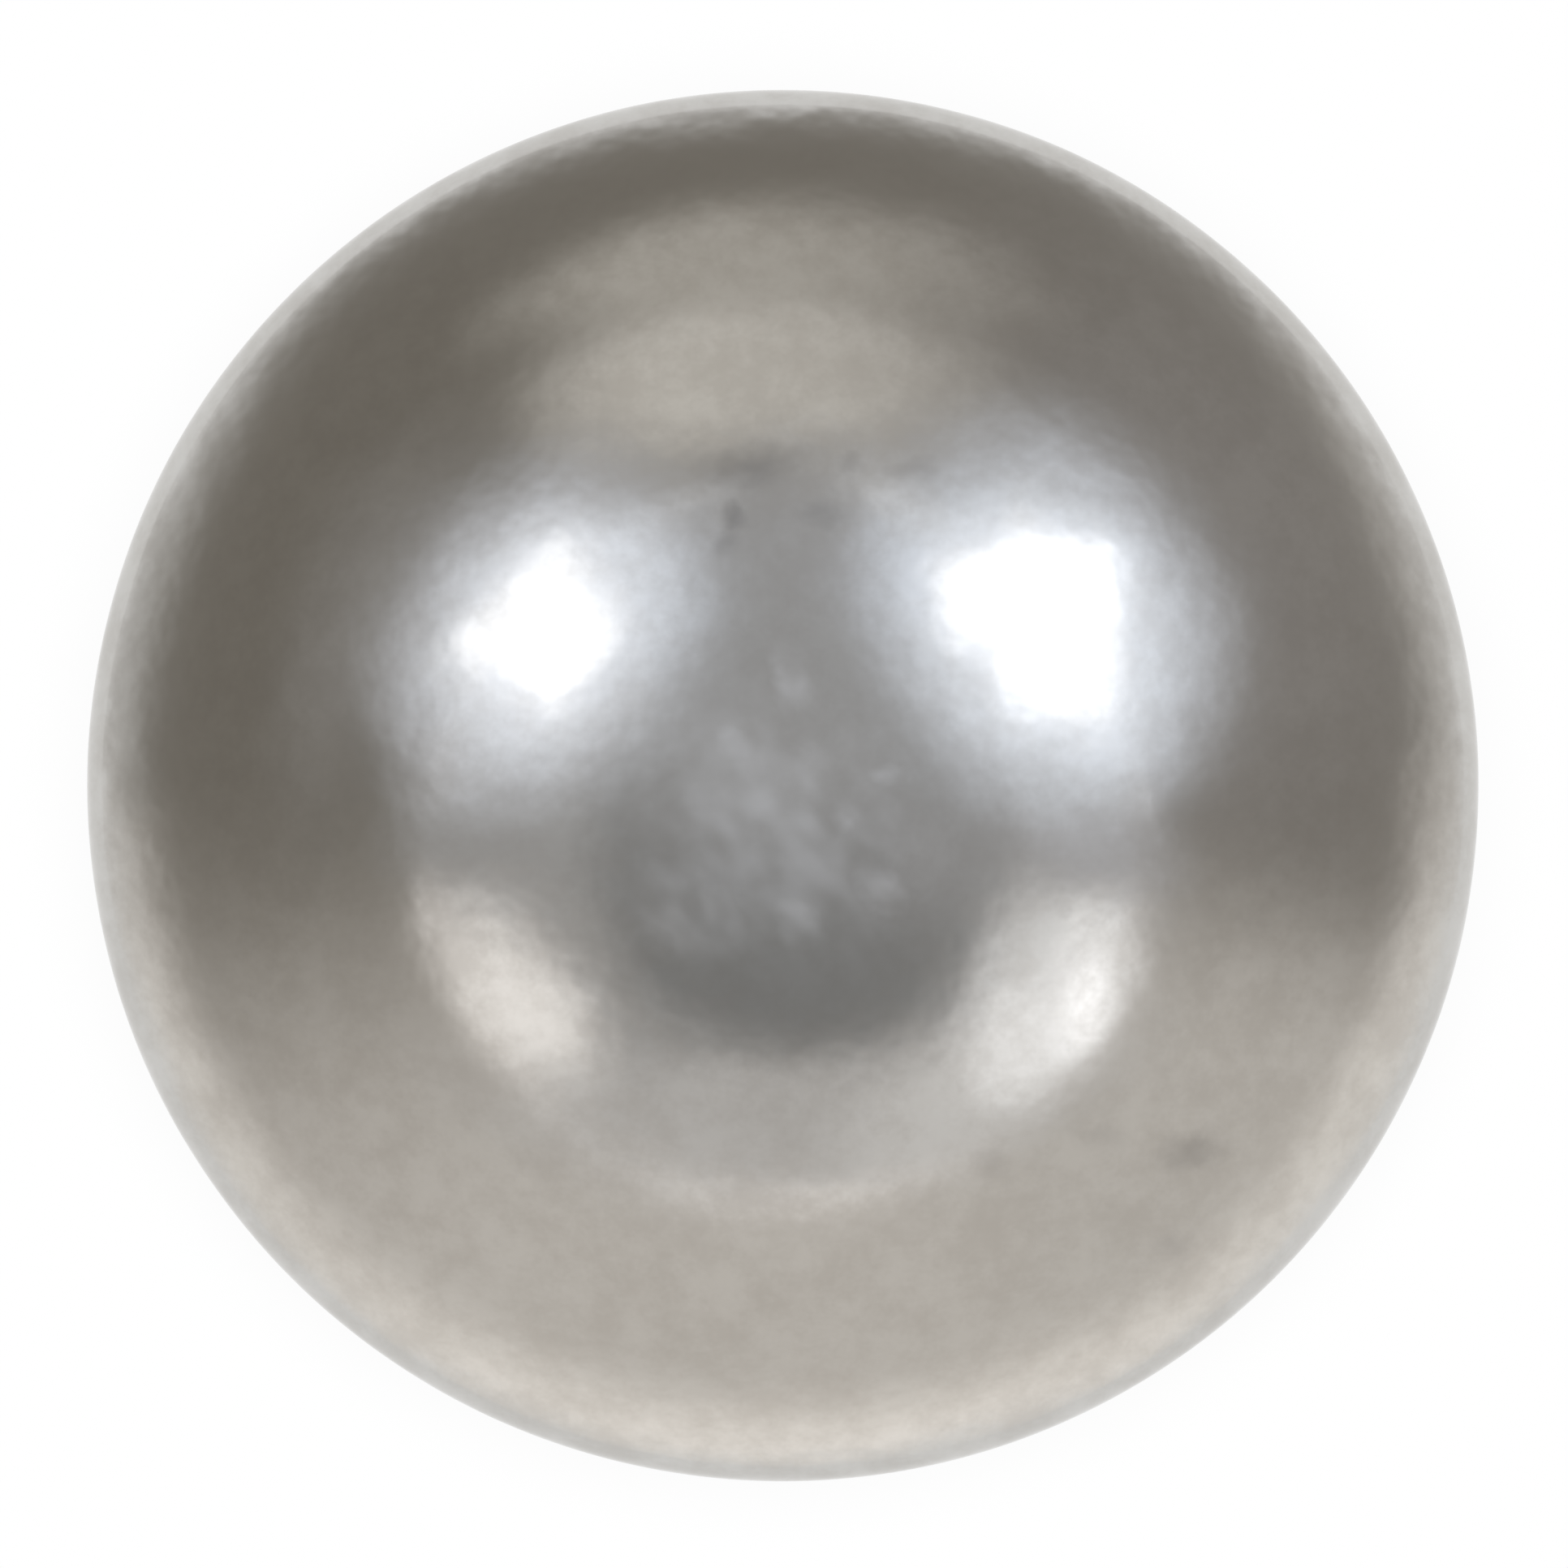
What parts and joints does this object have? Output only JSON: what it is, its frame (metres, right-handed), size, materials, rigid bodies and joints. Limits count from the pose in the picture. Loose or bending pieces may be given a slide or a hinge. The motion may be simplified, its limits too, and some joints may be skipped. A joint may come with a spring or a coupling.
{
  "type": "rivet",
  "caption": "Solid round-head rivet in polished steel: a low domed head with a rolled edge on a plain cylindrical shank with a lightly chamfered end.",
  "frame": {"origin": "on the rivet's axis, in the plane of the bearing face under the head", "axes": "+Z along the axis and out of the top of the domed head; the shank runs down -Z to its flat end, which the rivet stands on; X and Y are free, because the rivet is round"},
  "size_m": [0.0088, 0.0088, 0.0122],
  "materials": {
    "steel": "polished and lightly scuffed on the head, plain drawn on the shank"
  },
  "bodies": {
    "root": {"rivet": "steel"}
  },
  "joints": []
}
